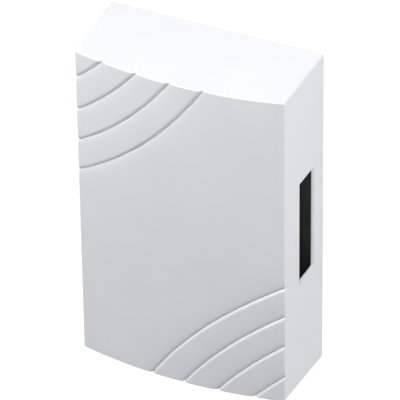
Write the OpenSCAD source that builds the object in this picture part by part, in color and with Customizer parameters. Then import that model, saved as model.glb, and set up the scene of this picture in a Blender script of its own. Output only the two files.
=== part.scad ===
// Two-tone wired door chime in a bowed white case. All sizes are in millimetres.
// X runs to the right, Y into the wall and Z up, seen from in front.
// The origin is the middle of the face that meets the wall, so depths from the wall lie along -Y.

/* [Cover] */
// Width of the cover at its rim
cover_w = 120; // [112:1:160]
// Height of the cover at its rim
cover_h = 195; // [180:1:250]
// Depth of the side walls, from the wall to the front corners
cover_side = 47; // [42:0.5:70]
// How far the front bows out past its corners
front_bow = 7; // [3:0.5:12]
// Lean of each side wall over its depth
draft_side = 1.4; // [0.4:0.1:3]
// Lean of the top and bottom walls over their depth
draft_end = 2.2; // [0.4:0.1:4]
// Thickness of the side, top and bottom walls
cover_wall = 1.8; // [1.4:0.1:2.6]
// Thickness of the bowed front
front_wall = 3; // [2.6:0.1:4]
// Width of the bevel on the two upright edges of the front
edge_bevel = 1; // [0.4:0.1:2]
// Gap between the cover's rim and the wall
rim_lift = 0.4; // [0.2:0.1:1]

/* [Corner grooves] */
// Number of arc grooves in each grooved corner
groove_count = 4; // [1:1:5]
// Distance from the corner to the first groove, along the diagonal
groove_first = 12; // [8:0.5:20]
// Spacing of the grooves, along the diagonal
groove_pitch = 15.6; // [8:0.1:18]
// Distance from the corner out to the centre of the arcs, along the diagonal
groove_reach = 170; // [80:1:260]
// Width of a groove at the surface
groove_w = 4.4; // [2:0.1:6]
// Depth of a groove
groove_d = 1.6; // [0.6:0.1:2]

/* [Sound slots] */
// Height of the slot in each side wall
slot_h = 64; // [30:1:100]
// Width of the slot, from front to back
slot_w = 17.5; // [8:0.5:24]
// Distance from the wall to the rear edge of the slot
slot_back = 11.5; // [9:0.5:18]
// Height of the slot's middle above the middle of the cover
slot_rise = 1.9; // [-12:0.1:12]

/* [Back plate] */
// Thickness of the back plate
plate_t = 2.5; // [2:0.1:4]
// Depth of the rim round the back plate, from the wall
rim_h = 7; // [5:0.5:9]
// Thickness of that rim
rim_t = 1.6; // [1.2:0.1:2.4]
// Clearance between the rim and the inside of the cover
fit_gap = 0.4; // [0.2:0.05:0.8]
// Diameter of the holes for the wall screws
wall_hole_d = 4.6; // [3.5:0.1:6]
// Distance of the wall holes in from the edges of the plate
wall_hole_in = 12.5; // [10:0.5:16]
// Diameter of the raised ring round each wall hole
wall_boss_d = 11; // [9:0.5:14]
// Height of that ring above the plate
wall_boss_h = 1.5; // [0.8:0.1:3]
// Width of the cable entry
entry_w = 30; // [16:1:36]
// Height of the cable entry
entry_h = 16; // [10:1:20]
// Distance of the cable entry in from the bottom rim
entry_in = 6; // [4:0.5:10]

/* [Snap arms] */
// Distance of each snap arm from the middle
arm_x = 26; // [24:1:30]
// Width of a snap arm
arm_w = 12; // [8:0.5:15]
// Thickness of a snap arm
arm_t = 1.8; // [1.2:0.1:2.4]
// Depth of the arm's tip, from the wall
arm_len = 16; // [13:0.5:20]
// How far the hook stands out of the arm
hook_h = 0.8; // [0.4:0.1:1.2]
// Length of the hook along the arm
hook_len = 2.5; // [1.5:0.1:4]
// How far the ridge stands out inside the cover
catch_h = 0.8; // [0.4:0.1:1.2]
// Length of the ridge along the wall of the cover
catch_t = 1.4; // [0.8:0.1:2.5]
// Clearance between hook and ridge
hook_gap = 0.2; // [0.15:0.05:0.5]

/* [Tone bars] */
// Thickness of a tone bar
bar_t = 3; // [2:0.1:4]
// Width of a tone bar, from front to back
bar_w = 22; // [14:0.5:26]
// Length of the high bar, on the right
bar_high_len = 128; // [110:1:150]
// Length of the low bar, on the left
bar_low_len = 150; // [125:1:160]
// Diameter of the hanging holes
bar_hole_d = 7.5; // [6:0.1:9]
// Room between the heads of the bar screws and the side of the cover
bar_room = 5.5; // [2:0.1:7]

/* [Bar hangers] */
// Diameter of a grommet's flanges
grommet_d = 11; // [10:0.1:14]
// Thickness of each flange
grommet_t = 2; // [1:0.1:3]
// Diameter of the bar screws
bar_screw_d = 3; // [2.5:0.1:4]
// Depth that a bar screw reaches into its lug
bar_screw_bite = 6; // [4:0.1:8]
// Diameter of the washers
washer_d = 9; // [7.5:0.1:11]
// Thickness of the washers
washer_t = 0.8; // [0.5:0.1:1.5]
// Thickness of the lugs, from side to side
lug_t = 8; // [7:0.1:10]
// Width of the lugs, up and down
lug_w = 10; // [8:0.5:14]
// How far a lug reaches past its screw hole
lug_cap = 5; // [3.5:0.1:8]
// Reach of the web that props each lug
web_reach = 9; // [5:0.5:12]
// Thickness of that web
web_t = 2; // [1.5:0.1:3]

/* [Screw heads] */
// Diameter of the screw heads
head_d = 6; // [5:0.1:7]
// Height of the screw heads
head_h = 2.2; // [1.6:0.1:3]
// Width of the cross cut in the heads
cross_w = 0.8; // [0.5:0.1:1.2]
// Depth of that cross
cross_d = 1.1; // [0.6:0.1:1.4]
// Clearance round the shank of a screw
screw_gap = 0.1; // [0.05:0.05:0.3]

/* [Solenoid] */
// Length of the winding
coil_len = 40; // [30:0.5:46]
// Diameter of the winding
coil_d = 23; // [18:0.5:26]
// How far the bobbin's flanges stand out past the winding
flange_lip = 1; // [0.5:0.1:2]
// Thickness of the flanges
flange_t = 1.5; // [1:0.1:2.5]
// Wall of the bobbin's tube
tube_wall = 1.3; // [0.8:0.1:2]
// Clearance between neighbouring solenoid pieces
coil_gap = 0.1; // [0.05:0.05:0.3]
// Thickness of the steel yoke
yoke_t = 1.5; // [1:0.1:2.5]
// Width of the yoke
yoke_w = 22; // [18:0.5:26]
// Height of the pads under the yoke
pad_h = 4.5; // [3:0.1:7]
// Diameter of those pads
pad_d = 9; // [7:0.1:11]
// Distance of the yoke screws from the flanges of the bobbin
yoke_ear = 3.5; // [3:0.1:6]
// Diameter of the yoke and terminal block screws
small_screw_d = 2.6; // [2:0.1:3]

/* [Plunger] */
// Diameter of the iron core
core_d = 8; // [6:0.1:10]
// Length of the iron core
core_len = 40; // [34:0.5:48]
// How far the middle of the core rests to the left of the coil's middle
core_back = 8; // [6:0.1:10]
// Clearance between the core and its bore
core_gap = 0.3; // [0.2:0.05:0.5]
// Diameter of the nylon strikers
striker_d = 5.4; // [4:0.1:6]
// Diameter of the spigot that holds a striker in the core
spigot_d = 3; // [2:0.1:3.6]
// Length of that spigot
spigot_len = 7; // [4:0.5:10]
// Thickness of the low striker's spring seat
seat_t = 1.5; // [1:0.1:3]
// Length of the striking nose past the spring seat
nose_len = 2.2; // [1.6:0.1:4]
// Distance from the high striker to its bar at rest
ding_gap = 6.5; // [4:0.1:8]
// Distance from the low striker to its bar at rest
dong_gap = 2; // [1:0.1:3]

/* [Return spring] */
// Diameter of the spring wire
spring_wire = 0.6; // [0.4:0.05:0.8]
// Number of curls
spring_curls = 7; // [4:1:8]
// Clearance between the spring and the core
spring_gap = 0.4; // [0.3:0.05:1]

/* [Terminals] */
// Number of terminals
term_count = 3; // [2:1:3]
// Spacing of the terminals
term_pitch = 10; // [9:0.1:11]
// Width of a brass clamp
clamp_w = 6.4; // [5.6:0.1:7]
// Length of a brass clamp, along the wire
clamp_len = 9; // [7:0.5:12]
// Height of a brass clamp
clamp_h = 7; // [6.4:0.1:9]
// Diameter of the hole for the wire
wire_hole_d = 3.2; // [2:0.1:3.6]
// Clearance between the clamps and the block
clamp_gap = 0.2; // [0.1:0.05:0.4]
// Walls of the block round the clamps
block_wall = 2; // [1.2:0.1:3]
// Thickness of the block under the clamps
block_floor = 3; // [1.5:0.1:5]
// Height of the block above the clamps
block_rise = 4; // [3.2:0.1:6]
// Gap between the block and the cable entry
block_gap = 6; // [3:0.5:10]
// Length of the block's two ears
ear_len = 8; // [7:0.1:10]
// Thickness of those ears
ear_t = 3; // [2:0.1:5]
// Height of the bosses under the ears
boss_h = 3; // [2:0.1:5]

/* [Coil leads] */
// Diameter of a coil lead
lead_d = 1.4; // [1:0.1:1.8]
// Distance of each lead's start in from the end of the winding
lead_in = 3; // [2:0.5:6]
// Distance of each lead's guide from the middle
guide_x = 13; // [11:0.5:16]
// Height of the lead guide above the plate
guide_h = 5; // [3.5:0.1:8]
// Thickness of the lead guide
guide_t = 3; // [2:0.1:5]
// Wall of the guide beside each lead
guide_wall = 2; // [1.2:0.1:3]
// Clearance between a lead and its guide
lead_gap = 0.25; // [0.2:0.05:0.5]

/* [Hidden] */
$fn = 64;
// Extra length of a cut past the face that it breaks through
over = 1;

// The bowed front is part of an upright cylinder.
front_half_w = cover_w / 2 - draft_side;
front_half_h = cover_h / 2 - draft_end;
bow_r = (pow(front_half_w, 2) + pow(front_bow, 2)) / (2 * front_bow);
bow_y = bow_r - cover_side - front_bow;
case_depth = cover_side + front_bow;

// Holes that the two kinds of screw pass through or bite in
bar_screw_hole_d = bar_screw_d + 2 * screw_gap;
small_hole_d = small_screw_d + 2 * screw_gap;

// Half the inner width and height of the cover at a depth from the wall
function inner_half_w(depth) = cover_w / 2 - draft_side * depth / cover_side - cover_wall;
function inner_half_h(depth) = cover_h / 2 - draft_end * depth / cover_side - cover_wall;

// The back plate fits inside the cover at the front of its rim.
plate_half_w = inner_half_w(rim_h) - fit_gap;
plate_half_h = inner_half_h(rim_h) - fit_gap;
wall_hole_x = plate_half_w - wall_hole_in;
wall_hole_z = plate_half_h - wall_hole_in;
entry_low = -plate_half_h + rim_t + entry_in;
entry_mid = entry_low + entry_h / 2;

// Solenoid: the flanges of the bobbin clear the yoke, which lies on the pads.
flange_d = coil_d + 2 * flange_lip;
yoke_back = plate_t + pad_h;
axis_depth = yoke_back + yoke_t + coil_gap + flange_d / 2;
yoke_in = coil_len / 2 + flange_t + coil_gap;
yoke_out = yoke_in + yoke_t;
bore_d = core_d + 2 * core_gap;
tube_d = bore_d + 2 * tube_wall;
yoke_screw_z = flange_d / 2 + yoke_ear;

// Tone bars: from the side of the cover inwards come the room, the head, the washer, the flange and the bar.
bar_back = inner_half_w(axis_depth) - bar_room - head_h - washer_t - grommet_t;
bar_face = bar_back - bar_t;
lug_face = bar_face - grommet_t;
head_face = bar_back + grommet_t + washer_t;
// A free bar stands still at this share of its length in from each end.
still_share = 0.2242;
function hang_z(len) = len * (0.5 - still_share);

// Plunger at rest
core_left = -core_back - core_len / 2;
core_right = -core_back + core_len / 2;
high_tip = bar_face - ding_gap;
low_tip = -bar_face + dong_gap;
seat_out = low_tip + nose_len;
seat_in = seat_out + seat_t;

// Return spring: an eight-sided curl clears the core at the middle of its sides.
curl_rings = 8;
wire_sides = 6;
spring_r = (core_d / 2 + spring_gap + spring_wire / 2) / cos(180 / curl_rings);
seat_r = spring_r + spring_wire;
spring_start = -yoke_out - spring_wire / 2 - coil_gap;
spring_end = seat_in + spring_wire / 2 + coil_gap;
spring_pitch = (spring_start - spring_end) / spring_curls;

// Terminal block, above the cable entry
block_low = entry_low + entry_h + block_gap;
block_len = clamp_len + 2 * clamp_gap + 2 * block_wall;
block_top = block_low + block_len;
block_mid = block_low + block_len / 2;
block_w = (term_count - 1) * term_pitch + clamp_w + 2 * clamp_gap + 2 * block_wall;
block_h = block_floor + clamp_h + block_rise;
clamp_depth = plate_t + block_floor;
clamp_front = clamp_depth + clamp_h;
wire_wall = 0.8;
wire_depth = clamp_depth + wire_wall + wire_hole_d / 2;
ear_depth = plate_t + boss_h;
ear_x = block_w / 2 + ear_len / 2;
term_head_d = clamp_w - 2 * clamp_gap;
function term_x(i) = (i - (term_count - 1) / 2) * term_pitch;

// Coil leads run from the winding, through the guide, to the outer terminals.
lead_x = coil_len / 2 - lead_in;
guide_z = (block_top - coil_d / 2) / 2;
guide_depth = plate_t + guide_h - lead_d;
lead_straight = 3 * lead_d;
lead_steps = 7;
lead_sides = 8;

// Curves and tubes

function unit(v) = v / norm(v);

// Point at share t of a curve that leaves a and reaches b along Z
function ease(a, b, t) =
    let (pull = [0, 0, (b[2] - a[2]) / 2])
    pow(1 - t, 3) * a + 3 * pow(1 - t, 2) * t * (a + pull) + 3 * (1 - t) * t * t * (b - pull) + pow(t, 3) * b;

function lead_path(side) =
    let (
        start = [side * lead_x, -axis_depth, -coil_d / 2 - coil_gap],
        drop = start - [0, 0, lead_straight],
        middle = [side * guide_x, -guide_depth, guide_z],
        entry = [side * term_x(term_count - 1), -wire_depth, block_top + lead_straight],
        finish = [entry[0], entry[1], block_top - block_wall - clamp_len / 4]
    )
    concat(
        [start],
        [for (i = [0 : lead_steps - 1]) ease(drop, middle, i / lead_steps)],
        [for (i = [0 : lead_steps]) ease(middle, entry, i / lead_steps)],
        [finish]
    );

function spring_point(turn) =
    [spring_start - turn * spring_pitch, spring_r * cos(360 * turn), spring_r * sin(360 * turn)];

spring_path = [for (i = [0 : spring_curls * curl_rings]) spring_point(i / curl_rings)];

// Least gap of the spring to itself, between points at least half a curl apart
spring_self_gap = min([
    for (i = [0 : len(spring_path) - 1])
        for (j = [i + curl_rings / 2 : 1 : len(spring_path) - 1])
            norm(spring_path[i] - spring_path[j])
]) - spring_wire;
echo(spring_least_gap = spring_self_gap);

function tangent(path, i) = unit(path[min(i + 1, len(path) - 1)] - path[max(i - 1, 0)]);

function ring(path, i, r, sides, away) =
    let (t = tangent(path, i), u = unit(cross(t, away)), v = cross(t, u))
    [for (k = [0 : sides - 1]) path[i] + r * (cos(360 * k / sides) * u + sin(360 * k / sides) * v)];

// Closed round tube along a path that never runs along the direction away
module tube(path, d, sides, away) {
    last = len(path) - 1;
    points = [for (i = [0 : last]) each ring(path, i, d / 2, sides, away)];
    walls = [
        for (i = [0 : last - 1])
            for (k = [0 : sides - 1])
                let (a = i * sides + k, b = i * sides + (k + 1) % sides)
                each [[a, b, b + sides], [a, b + sides, a + sides]]
    ];
    caps = [
        for (k = [1 : sides - 2])
            each [[0, k + 1, k], [last * sides, last * sides + k, last * sides + k + 1]]
    ];
    polyhedron(points = points, faces = concat(walls, caps));
}

// Shared shapes

// Cylinder along +X from x, on the plunger's axis unless moved in depth or height
module rod_x(x, len, d, depth = axis_depth, z = 0) {
    translate([x, -depth, z]) rotate([0, 90, 0]) cylinder(d = d, h = len);
}

// Cylinder that runs out of the wall from one depth to the next
module rod_y(x, z, near, far, d) {
    translate([x, -near, z]) rotate([90, 0, 0]) cylinder(d = d, h = far - near);
}

// Box between two depths from the wall, centred in width and height
module slab(x, z, near, far, w, h) {
    translate([x - w / 2, -far, z - h / 2]) cube([w, far - near, h]);
}

// Domed screw head with a cross cut and a shank below it, along +Z with the head's seat at zero
module screw(shank_d, shank_len, head = head_d) {
    dome_r = (pow(head / 2, 2) + pow(head_h, 2)) / head_h;
    cross_len = head - 2 * cross_d;
    root = (head_h - cross_d) / 2;
    difference() {
        intersection() {
            cylinder(d = head, h = head_h);
            translate([0, 0, head_h - dome_r]) sphere(r = dome_r);
        }
        for (turn = [0, 90])
            rotate([0, 0, turn])
                translate([-cross_len / 2, -cross_w / 2, head_h - cross_d])
                    cube([cross_len, cross_w, cross_d + over]);
    }
    translate([0, 0, -shank_len]) cylinder(d = shank_d, h = shank_len + root);
}

// Calls its children once at each hanging point, with $side to the right or left and $z its height.
module at_hangers() {
    for (side = [1, -1])
        for (end = [1, -1]) {
            $side = side;
            $z = end * hang_z(side > 0 ? bar_high_len : bar_low_len);
            mirror([side > 0 ? 0 : 1, 0, 0]) children();
        }
}

// Calls its children at the four snap arms, drawn for the top right one.
module at_arms() {
    for (side = [0, 1])
        for (end = [0, 1])
            mirror([side, 0, 0]) mirror([0, 0, end]) children();
}

// Front cover

// Plan of the case seen from above, with its walls moved in and its front moved back
module case_plan(wall, skin) {
    far = case_depth + over;
    rear = cover_w / 2 - wall;
    front = rear - draft_side * far / cover_side;
    intersection() {
        polygon([[-rear, 0], [-front, -far], [front, -far], [rear, 0]]);
        translate([0, bow_y]) circle(r = bow_r - skin);
    }
}

// Side view of the case as a plain wedge, drawn as depth along Y against height
module case_end(wall) {
    far = case_depth + over;
    rear = cover_h / 2 - wall;
    front = rear - draft_end * far / cover_side;
    polygon([[0, -rear], [-far, -front], [-far, front], [0, rear]]);
}

module case_solid(wall, skin) {
    intersection() {
        linear_extrude(cover_h, center = true) case_plan(wall, skin);
        rotate([90, 0, 90]) linear_extrude(cover_w, center = true) case_end(wall);
    }
}

// What bevels the right upright edge of the front
module edge_cut() {
    side_depth = cover_side - edge_bevel;
    on_side = [cover_w / 2 - draft_side * side_depth / cover_side, -side_depth];
    front_x = front_half_w - edge_bevel;
    on_front = [front_x, bow_y - sqrt(bow_r * bow_r - front_x * front_x)];
    corner = [on_side[0] + over, on_front[1] - over];
    linear_extrude(cover_h + 2 * over, center = true)
        polygon([on_front, [on_front[0], corner[1]], corner, [corner[0], on_side[1]], on_side]);
}

// Arc grooves of the upper left corner, following the bow, in two steps that narrow with depth
module corner_grooves() {
    centre_x = -front_half_w - groove_reach / sqrt(2);
    centre_z = front_half_h + groove_reach / sqrt(2);
    for (step = [1, 2])
        difference() {
            translate([centre_x, -cover_side + groove_d + over, centre_z])
                rotate([90, 0, 0])
                    linear_extrude(front_bow + groove_d + 2 * over)
                        for (i = [0 : groove_count - 1])
                            groove_ring(groove_reach + groove_first + i * groove_pitch, groove_w / step);
            translate([0, bow_y, 0])
                cylinder(r = bow_r - groove_d * step / 2, h = cover_h + 2 * over, center = true);
        }
}

module groove_ring(r, w) {
    difference() {
        circle(r = r + w / 2);
        circle(r = r - w / 2);
    }
}

module front_cover() {
    catch_near = arm_len - hook_len - hook_gap - catch_t;
    catch_inner = inner_half_h(arm_len) - catch_h;
    color("white") {
        difference() {
            difference() {
                case_solid(0, 0);
                for (turn = [0, 180]) rotate([0, turn, 0]) corner_grooves();
            }
            case_solid(cover_wall, front_wall);
            slab(0, 0, -over, rim_lift, cover_w + 2 * over, cover_h + 2 * over);
            slab(0, slot_rise, slot_back, slot_back + slot_w, cover_w + 2 * over, slot_h);
            for (side = [0, 1]) mirror([side, 0, 0]) edge_cut();
        }
        at_arms()
            translate([arm_x - arm_w / 2, -catch_near - catch_t, catch_inner])
                cube([arm_w, catch_t, catch_h + cover_wall]);
    }
}

// Back plate

module plate_rim() {
    window = arm_w + 2 * arm_t;
    difference() {
        slab(0, 0, 0, rim_h, 2 * plate_half_w, 2 * plate_half_h);
        slab(0, 0, -over, rim_h + over, 2 * (plate_half_w - rim_t), 2 * (plate_half_h - rim_t));
        at_arms() slab(arm_x, plate_half_h, plate_t, rim_h + over, window, 2 * rim_t + over);
    }
}

module snap_arm() {
    face = inner_half_h(arm_len) - catch_h - hook_gap - hook_h;
    translate([arm_x - arm_w / 2, 0, 0])
        rotate([90, 0, 90])
            linear_extrude(arm_w)
                polygon([
                    [0, face - arm_t], [-arm_len, face - arm_t], [-arm_len, face],
                    [-arm_len + hook_len, face + hook_h], [-arm_len + hook_len, face], [0, face]
                ]);
}

module bar_lug() {
    slab(lug_face - lug_t / 2, $z, 0, axis_depth + lug_cap, lug_t, lug_w);
    translate([lug_face - lug_t, 0, $z - web_t / 2])
        linear_extrude(web_t) polygon([[0, 0], [0, -axis_depth], [-web_reach, 0]]);
}

module lead_guide() {
    notch = lead_d + 2 * lead_gap;
    half = guide_x + notch / 2 + guide_wall;
    difference() {
        slab(0, guide_z, 0, plate_t + guide_h, 2 * half, guide_t);
        for (side = [1, -1]) {
            slab(side * guide_x, guide_z, guide_depth, plate_t + guide_h + over, notch, guide_t + over);
            translate([side * guide_x, -guide_depth, guide_z])
                cylinder(d = notch, h = guide_t + over, center = true);
        }
    }
}

module back_plate() {
    color("dimgray")
        difference() {
            union() {
                slab(0, 0, 0, plate_t, 2 * plate_half_w, 2 * plate_half_h);
                plate_rim();
                at_arms() {
                    snap_arm();
                    rod_y(wall_hole_x, wall_hole_z, 0, plate_t + wall_boss_h, wall_boss_d);
                }
                at_hangers() bar_lug();
                for (end = [1, -1]) rod_y(0, end * yoke_screw_z, 0, yoke_back, pad_d);
                for (side = [1, -1]) rod_y(side * ear_x, block_mid, 0, ear_depth, ear_len);
                lead_guide();
            }
            at_arms() rod_y(wall_hole_x, wall_hole_z, -over, plate_t + wall_boss_h + over, wall_hole_d);
            slab(0, entry_mid, -over, plate_t + over, entry_w, entry_h);
            at_hangers()
                rod_x(lug_face - bar_screw_bite - over / 2, bar_screw_bite + over, bar_screw_hole_d, z = $z);
            for (end = [1, -1])
                rod_y(0, end * yoke_screw_z, plate_t, yoke_back + over, small_hole_d);
            for (side = [1, -1])
                rod_y(side * ear_x, block_mid, plate_t / 2, ear_depth + over, small_hole_d);
        }
}

// Tone bars and their hangers

module tone_bar(side, len) {
    middle = side * (bar_face + bar_t / 2);
    color("slategray")
        difference() {
            slab(middle, 0, axis_depth - bar_w / 2, axis_depth + bar_w / 2, bar_t, len);
            for (end = [1, -1])
                rod_x(middle - bar_t, 2 * bar_t, bar_hole_d, z = end * hang_z(len));
        }
}

module tone_bar_high() { tone_bar(1, bar_high_len); }
module tone_bar_low() { tone_bar(-1, bar_low_len); }

module grommet(side, z) {
    color("black")
        mirror([side > 0 ? 0 : 1, 0, 0])
            difference() {
                union() {
                    rod_x(lug_face, grommet_t, grommet_d, z = z);
                    rod_x(lug_face, 2 * grommet_t + bar_t, bar_hole_d - 2 * screw_gap, z = z);
                    rod_x(bar_back, grommet_t, grommet_d, z = z);
                }
                rod_x(lug_face - over, 2 * grommet_t + bar_t + 2 * over, bar_screw_hole_d, z = z);
            }
}

module grommet_high_top() { grommet(1, hang_z(bar_high_len)); }
module grommet_high_bottom() { grommet(1, -hang_z(bar_high_len)); }
module grommet_low_top() { grommet(-1, hang_z(bar_low_len)); }
module grommet_low_bottom() { grommet(-1, -hang_z(bar_low_len)); }

module bar_washers() {
    color("silver")
        at_hangers()
            difference() {
                rod_x(bar_back + grommet_t, washer_t, washer_d, z = $z);
                rod_x(bar_back + grommet_t - over, washer_t + 2 * over, bar_screw_hole_d, z = $z);
            }
}

module bar_screws() {
    color("silver")
        at_hangers()
            translate([head_face, -axis_depth, $z])
                rotate([0, 90, 0]) screw(bar_screw_d, head_face - lug_face + bar_screw_bite);
}

// Solenoid

module solenoid_yoke() {
    ear_half = yoke_screw_z + pad_d / 2;
    color("lightgray")
        difference() {
            union() {
                slab(0, 0, yoke_back, yoke_back + yoke_t, 2 * yoke_out, yoke_w);
                slab(0, 0, yoke_back, yoke_back + yoke_t, pad_d + 2 * yoke_t, 2 * ear_half);
                for (side = [1, -1]) {
                    slab(side * (yoke_in + yoke_t / 2), 0, yoke_back, axis_depth, yoke_t, yoke_w);
                    rod_x(side * (yoke_in + yoke_t / 2) - yoke_t / 2, yoke_t, yoke_w);
                }
            }
            rod_x(-yoke_out - over, 2 * (yoke_out + over), tube_d + 2 * coil_gap);
            for (end = [1, -1])
                rod_y(0, end * yoke_screw_z, yoke_back - over, yoke_back + yoke_t + over, small_hole_d);
        }
}

module yoke_screws() {
    color("silver")
        for (end = [1, -1])
            translate([0, -yoke_back - yoke_t, end * yoke_screw_z])
                rotate([90, 0, 0]) screw(small_screw_d, yoke_t + pad_h - screw_gap);
}

module coil_bobbin() {
    color("ivory")
        difference() {
            union() {
                rod_x(-yoke_out, 2 * yoke_out, tube_d);
                for (side = [1, -1])
                    rod_x(side * (coil_len + flange_t) / 2 - flange_t / 2, flange_t, flange_d);
            }
            rod_x(-yoke_out - over, 2 * (yoke_out + over), bore_d);
        }
}

module coil_winding() {
    color("chocolate")
        difference() {
            rod_x(-coil_len / 2 + coil_gap, coil_len - 2 * coil_gap, coil_d);
            rod_x(-coil_len / 2 - over, coil_len + 2 * over, tube_d + 2 * coil_gap);
        }
}

// Plunger

module plunger_core() {
    hole_len = spigot_len + coil_gap;
    color("gray")
        difference() {
            rod_x(core_left, core_len, core_d);
            rod_x(core_left - over, hole_len + over, spigot_d + 2 * screw_gap);
            rod_x(core_right - hole_len, hole_len + over, spigot_d + 2 * screw_gap);
        }
}

module striker_high() {
    color("ivory") {
        rod_x(core_right - spigot_len, spigot_len + over, spigot_d);
        rod_x(core_right, high_tip - striker_d / 2 - core_right, striker_d);
        translate([high_tip - striker_d / 2, -axis_depth, 0]) sphere(d = striker_d);
    }
}

module striker_low() {
    nose_r = (pow(striker_d / 2, 2) + pow(nose_len, 2)) / (2 * nose_len);
    color("ivory") {
        rod_x(core_left - over, spigot_len + over, spigot_d);
        rod_x(seat_out, core_left - seat_out, striker_d);
        rod_x(seat_out, seat_t, 2 * seat_r);
        intersection() {
            translate([low_tip + nose_r, -axis_depth, 0]) sphere(r = nose_r);
            rod_x(low_tip, nose_len + seat_t / 2, striker_d);
        }
    }
}

module return_spring() {
    color("silver") translate([0, -axis_depth, 0]) tube(spring_path, spring_wire, wire_sides, [1, 0, 0]);
}

// Terminals

module terminal_block() {
    well = [clamp_w + 2 * clamp_gap, clamp_len + 2 * clamp_gap];
    color("whitesmoke")
        difference() {
            union() {
                slab(0, block_mid, plate_t, plate_t + block_h, block_w, block_len);
                for (side = [1, -1]) {
                    slab(side * block_w / 2, block_mid, ear_depth, ear_depth + ear_t, ear_len, ear_len);
                    rod_y(side * ear_x, block_mid, ear_depth, ear_depth + ear_t, ear_len);
                }
            }
            for (i = [0 : term_count - 1]) {
                slab(term_x(i), block_mid, clamp_depth, plate_t + block_h + over, well[0], well[1]);
                translate([term_x(i), -wire_depth, block_low - over])
                    cylinder(d = wire_hole_d, h = block_len + 2 * over);
            }
            for (side = [1, -1])
                rod_y(side * ear_x, block_mid, ear_depth - over, ear_depth + ear_t + over, small_hole_d);
        }
}

module terminal_clamps() {
    color("goldenrod")
        for (i = [0 : term_count - 1])
            difference() {
                slab(term_x(i), block_mid, clamp_depth, clamp_front, clamp_w, clamp_len);
                translate([term_x(i), -wire_depth, block_mid])
                    cylinder(d = wire_hole_d, h = clamp_len + over, center = true);
                rod_y(term_x(i), block_mid, wire_depth, clamp_front + over, small_hole_d);
            }
}

module terminal_screws() {
    tip_depth = wire_depth + wire_hole_d / 2 + coil_gap;
    color("silver")
        for (i = [0 : term_count - 1])
            translate([term_x(i), -clamp_front, block_mid])
                rotate([90, 0, 0]) screw(small_screw_d, clamp_front - tip_depth, term_head_d);
}

module block_screws() {
    color("silver")
        for (side = [1, -1])
            translate([side * ear_x, -ear_depth - ear_t, block_mid])
                rotate([90, 0, 0]) screw(small_screw_d, ear_t + boss_h);
}

// Coil leads

module coil_lead(side) {
    color("firebrick") tube(lead_path(side), lead_d, lead_sides, [1, 0, 0]);
}

module coil_lead_left() { coil_lead(-1); }
module coil_lead_right() { coil_lead(1); }

front_cover();
back_plate();
tone_bar_high();
tone_bar_low();
grommet_high_top();
grommet_high_bottom();
grommet_low_top();
grommet_low_bottom();
bar_washers();
bar_screws();
solenoid_yoke();
yoke_screws();
coil_bobbin();
coil_winding();
plunger_core();
striker_high();
striker_low();
return_spring();
terminal_block();
terminal_clamps();
terminal_screws();
block_screws();
coil_lead_left();
coil_lead_right();
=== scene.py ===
import math

import bmesh
import bpy
from mathutils import Matrix, Vector


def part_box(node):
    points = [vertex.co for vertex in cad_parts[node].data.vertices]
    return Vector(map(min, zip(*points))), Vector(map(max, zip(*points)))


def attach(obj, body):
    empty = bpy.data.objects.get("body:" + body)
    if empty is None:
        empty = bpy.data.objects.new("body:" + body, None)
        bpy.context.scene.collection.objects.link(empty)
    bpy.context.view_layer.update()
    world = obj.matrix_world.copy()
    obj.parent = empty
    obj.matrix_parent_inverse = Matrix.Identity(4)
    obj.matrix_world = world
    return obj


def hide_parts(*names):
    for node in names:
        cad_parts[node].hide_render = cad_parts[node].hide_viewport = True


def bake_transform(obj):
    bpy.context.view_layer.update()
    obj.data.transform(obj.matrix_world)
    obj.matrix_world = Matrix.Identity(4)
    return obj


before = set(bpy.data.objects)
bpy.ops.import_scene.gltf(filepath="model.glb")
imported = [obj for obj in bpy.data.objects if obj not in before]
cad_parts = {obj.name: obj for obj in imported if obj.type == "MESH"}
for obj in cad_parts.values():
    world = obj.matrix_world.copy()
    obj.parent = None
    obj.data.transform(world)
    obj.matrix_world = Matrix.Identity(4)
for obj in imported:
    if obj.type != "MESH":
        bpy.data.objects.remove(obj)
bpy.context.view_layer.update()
print("frame loaded,", len(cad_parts), "nodes")

mm = 0.001


def boxOf(node):
    # a node's lowest and highest corners, in millimetres
    low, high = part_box(node)
    return low / mm, high / mm


coreLow, coreHigh = boxOf("plunger_core")
axisDepth = -(coreLow.y + coreHigh.y) / 2  # the plunger's axis, out from the wall


# Camera

photoView = dict(
    azimuth=25.34,
    elevation=36.02,
    roll=-0.79,
    distance=2.425,
    lookAt=(0.0, -0.025, 0.0),
    lens=418.25,
    sensor=36.0,
    shift=(0.0023, 0.0160),
    nearest=0.1,
    farthest=50.0,
)


def placeCamera():
    data = bpy.data.cameras.new("photoCamera")
    data.lens = photoView["lens"]
    data.sensor_width = photoView["sensor"]
    data.shift_x, data.shift_y = photoView["shift"]
    data.clip_start = photoView["nearest"]
    data.clip_end = photoView["farthest"]
    azimuth = math.radians(photoView["azimuth"])
    elevation = math.radians(photoView["elevation"])
    roll = math.radians(photoView["roll"])
    back = Vector((
        math.sin(azimuth) * math.cos(elevation),
        -math.cos(azimuth) * math.cos(elevation),
        math.sin(elevation),
    ))
    right = Vector((math.cos(azimuth), math.sin(azimuth), 0.0))
    up = back.cross(right)
    turnedRight = right * math.cos(roll) + up * math.sin(roll)
    turnedUp = up * math.cos(roll) - right * math.sin(roll)
    place = Vector(photoView["lookAt"]) + back * photoView["distance"]
    camera = bpy.data.objects.new("photoCamera", data)
    bpy.context.scene.collection.objects.link(camera)
    turn = Matrix((turnedRight, turnedUp, back)).transposed().to_4x4()
    camera.matrix_world = Matrix.Translation(place) @ turn
    bpy.context.scene.camera = camera


placeCamera()
print("camera placed")


# Node groups shared by the finishes

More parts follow.
